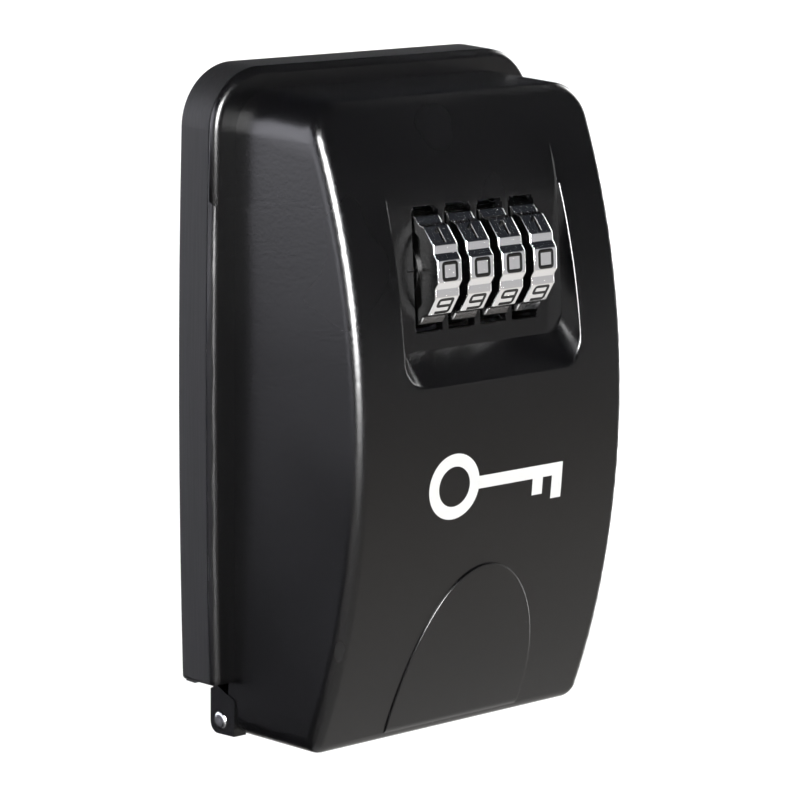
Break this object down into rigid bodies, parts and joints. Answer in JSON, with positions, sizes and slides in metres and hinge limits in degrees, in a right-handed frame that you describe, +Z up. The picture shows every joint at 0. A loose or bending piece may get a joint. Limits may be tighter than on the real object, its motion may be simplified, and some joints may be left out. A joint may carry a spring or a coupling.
{
  "type": "key lock box",
  "caption": "Wall-mounted key safe: a cast housing with a bulging drop-down cover, number dials in a recess, a sliding bolt and a code-change lever inside.",
  "frame": {"origin": "middle of the housing's back face, on the wall, half-way up the housing", "axes": "+X to the right as seen from the front, -Y out of the wall towards the user, +Z up"},
  "size_m": [0.0766, 0.041, 0.12],
  "materials": {
    "cast_black": "matte powder coat on die-cast zinc",
    "satin_black": "satin powder coat on die-cast zinc",
    "dial_chrome": "bright plated number dial",
    "pin_steel": "turned steel pin",
    "bright_steel": "zinc-plated steel",
    "seal_rubber": "moulded rubber",
    "sleeve_brass": "turned brass",
    "spring_steel": "spring wire",
    "hook_steel": "nickel-plated rod"
  },
  "bodies": {
    "housing": {"rear_housing": "cast_black", "rim_seal": "seal_rubber", "strike_plate": "bright_steel", "strike_rivets": "pin_steel", "key_hook": "hook_steel", "hook_screws": "bright_steel"},
    "cover": {"front_cover": "satin_black", "hinge_pin": "pin_steel", "mechanism_frame": "bright_steel", "frame_screws": "bright_steel", "detent_spring": "spring_steel", "inner_plate": "bright_steel", "plate_screws": "bright_steel", "latch_spring_left": "spring_steel", "latch_spring_right": "spring_steel"},
    "bolt": {"latch_bolt": "bright_steel"},
    "code_lever": {"reset_lever": "bright_steel", "lever_clip": "spring_steel"},
    "spindle_unit": {"spindle": "pin_steel"},
    "dial_1_ring": {"dial_1": "dial_chrome"},
    "dial_1_sleeve": {"cam_sleeve_1": "sleeve_brass"},
    "dial_2_ring": {"dial_2": "dial_chrome"},
    "dial_2_sleeve": {"cam_sleeve_2": "sleeve_brass"},
    "dial_3_ring": {"dial_3": "dial_chrome"},
    "dial_3_sleeve": {"cam_sleeve_3": "sleeve_brass"},
    "dial_4_ring": {"dial_4": "dial_chrome"},
    "dial_4_sleeve": {"cam_sleeve_4": "sleeve_brass"}
  },
  "joints": [
    {"name": "cover_hinge", "type": "hinge", "parent": "housing", "child": "cover", "pos_m": [0, -0.0056, -0.062], "axis": [1, 0, 0], "range_deg": [0, 95]},
    {"name": "dial_1_spin", "type": "hinge", "parent": "cover", "child": "dial_1_ring", "pos_m": [-0.01132, -0.03044, 0.02065], "axis": [1, 0, 0], "continuous": true},
    {"name": "dial_2_spin", "type": "hinge", "parent": "cover", "child": "dial_2_ring", "pos_m": [-0.00378, -0.03044, 0.02065], "axis": [1, 0, 0], "continuous": true},
    {"name": "dial_3_spin", "type": "hinge", "parent": "cover", "child": "dial_3_ring", "pos_m": [0.00378, -0.03044, 0.02065], "axis": [1, 0, 0], "continuous": true},
    {"name": "dial_4_spin", "type": "hinge", "parent": "cover", "child": "dial_4_ring", "pos_m": [0.01132, -0.03044, 0.02065], "axis": [1, 0, 0], "continuous": true},
    {"name": "bolt_slide", "type": "slide", "parent": "cover", "child": "bolt", "axis": [0, 0, -1], "range_m": [0, 0.003], "stiffness_N_per_m": 300, "springref_m": -0.004, "deforming": ["latch_spring_left", "latch_spring_right"]},
    {"name": "spindle_shift", "type": "slide", "parent": "cover", "child": "spindle_unit", "axis": [-1, 0, 0], "range_m": [0, 0.0017]},
    {"name": "code_lever_turn", "type": "hinge", "parent": "cover", "child": "code_lever", "pos_m": [0.0235, -0.02, 0.02065], "axis": [0, -1, 0], "range_deg": [0, 90]},
    {"name": "sleeve_1_shift", "type": "slide", "parent": "dial_1_ring", "child": "dial_1_sleeve", "axis": [-1, 0, 0], "range_m": [0, 0.0017]},
    {"name": "sleeve_2_shift", "type": "slide", "parent": "dial_2_ring", "child": "dial_2_sleeve", "axis": [-1, 0, 0], "range_m": [0, 0.0017]},
    {"name": "sleeve_3_shift", "type": "slide", "parent": "dial_3_ring", "child": "dial_3_sleeve", "axis": [-1, 0, 0], "range_m": [0, 0.0017]},
    {"name": "sleeve_4_shift", "type": "slide", "parent": "dial_4_ring", "child": "dial_4_sleeve", "axis": [-1, 0, 0], "range_m": [0, 0.0017]}
  ],
  "couplings": [
    {"joint": "code_lever_turn", "follows": "spindle_shift", "rad_per_m": 923.9},
    {"joint": "sleeve_1_shift", "follows": "spindle_shift", "ratio": 1},
    {"joint": "sleeve_2_shift", "follows": "spindle_shift", "ratio": 1},
    {"joint": "sleeve_3_shift", "follows": "spindle_shift", "ratio": 1},
    {"joint": "sleeve_4_shift", "follows": "spindle_shift", "ratio": 1}
  ]
}
